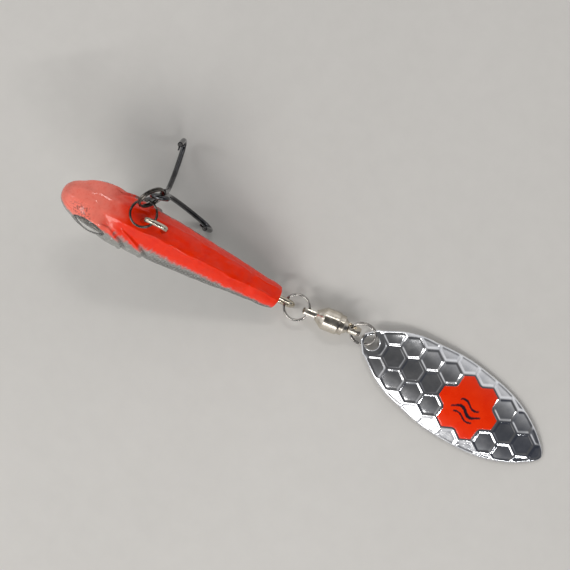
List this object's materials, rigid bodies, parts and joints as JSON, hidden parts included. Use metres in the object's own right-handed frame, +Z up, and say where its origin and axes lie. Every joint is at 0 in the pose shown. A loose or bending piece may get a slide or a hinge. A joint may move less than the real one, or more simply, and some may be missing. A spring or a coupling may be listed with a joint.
{
  "type": "tail spinner fishing lure",
  "caption": "Fish-shaped weighted lure with a treble hook on split rings under the belly and a leaf-shaped dimpled blade on a ball-bearing swivel at the tail.",
  "frame": {"origin": "centre of the lure's bounding box in plan, on the surface it lies on", "axes": "+Z up from the surface, +X along the lure from the fish's nose to the tip of the blade; the fish lies belly up, its right flank towards -Y"},
  "size_m": [0.1048, 0.0304, 0.0245],
  "materials": {
    "painted_body": "clear-coated gloss, orange belly and silver flanks",
    "frame_wire": "bright stainless wire",
    "eye_foil": "reflective foil with dark pupil",
    "eye_dome": "clear resin dome",
    "black_nickel": "black nickel plate",
    "hook_wire": "black nickel plated hook wire",
    "braze": "plated braze",
    "bright_ring": "bright nickel",
    "swivel_nickel": "warm nickel",
    "bearing_steel": "polished steel",
    "blade_chrome": "mirror plated",
    "orange_enamel": "gloss enamel"
  },
  "bodies": {
    "body": {"body_casting": "painted_body", "wire_frame": "frame_wire", "right_eye_foil": "eye_foil", "right_eye_dome": "eye_dome", "left_eye_foil": "eye_foil", "left_eye_dome": "eye_dome"},
    "inner_ring": {"hook_ring_inner": "black_nickel"},
    "outer_ring": {"hook_ring_outer": "black_nickel"},
    "treble": {"hook_pair": "hook_wire", "hook_single": "hook_wire", "hook_braze": "braze"},
    "tail_ring": {"tail_split_ring": "bright_ring"},
    "swivel_barrel": {"swivel_barrel": "swivel_nickel", "swivel_cap": "swivel_nickel"},
    "ball_rows": {"swivel_balls": "bearing_steel"},
    "swivel_stem": {"swivel_stem": "swivel_nickel"},
    "blade_ring": {"blade_split_ring": "bright_ring"},
    "blade": {"blade": "blade_chrome", "blade_emblem": "orange_enamel"}
  },
  "joints": [
    {"name": "inner_ring_swing", "type": "hinge", "parent": "body", "child": "inner_ring", "pos_m": [-0.03422, -0.00207, 0.02053], "axis": [0.8154, 0.421, 0.3974], "range_deg": [0, 45]},
    {"name": "outer_ring_swing", "type": "hinge", "parent": "inner_ring", "child": "outer_ring", "pos_m": [-0.03828, 0.00016, 0.02112], "axis": [-0.6459, -0.7522, 0.1304], "range_deg": [-75, 0]},
    {"name": "treble_swing", "type": "hinge", "parent": "outer_ring", "child": "treble", "pos_m": [-0.03525, 0.00213, 0.01969], "axis": [-0.4102, -0.8379, -0.3601], "range_deg": [-20, 0]},
    {"name": "tail_ring_swing", "type": "hinge", "parent": "body", "child": "tail_ring", "pos_m": [-0.0057, -0.00421, 0.00383], "axis": [-0.9547, 0.0068, 0.2974], "range_deg": [-9, 45]},
    {"name": "swivel_tilt", "type": "hinge", "parent": "tail_ring", "child": "swivel_barrel", "pos_m": [-0.00107, -0.00426, 0.00242], "axis": [0.0824, -0.9966, 0], "range_deg": [-30, 30]},
    {"name": "stem_spin", "type": "hinge", "parent": "swivel_barrel", "child": "swivel_stem", "pos_m": [0.00559, -0.00371, 0.00238], "axis": [0.9966, 0.0824, 0], "continuous": true},
    {"name": "ball_orbit", "type": "hinge", "parent": "swivel_barrel", "child": "ball_rows", "pos_m": [0.00375, -0.00386, 0.00238], "axis": [0.9966, 0.0824, 0], "continuous": true},
    {"name": "blade_ring_swing", "type": "hinge", "parent": "swivel_stem", "child": "blade_ring", "pos_m": [0.00776, -0.00337, 0.00218], "axis": [0.0733, -0.8864, -0.4571], "range_deg": [-20, 100]},
    {"name": "blade_swing", "type": "hinge", "parent": "blade_ring", "child": "blade", "pos_m": [0.0126, -0.00401, 0.00139], "axis": [0.134, 0.991, 0], "range_deg": [0, 30]}
  ],
  "couplings": [
    {"joint": "ball_orbit", "follows": "stem_spin", "ratio": 0.2833}
  ]
}
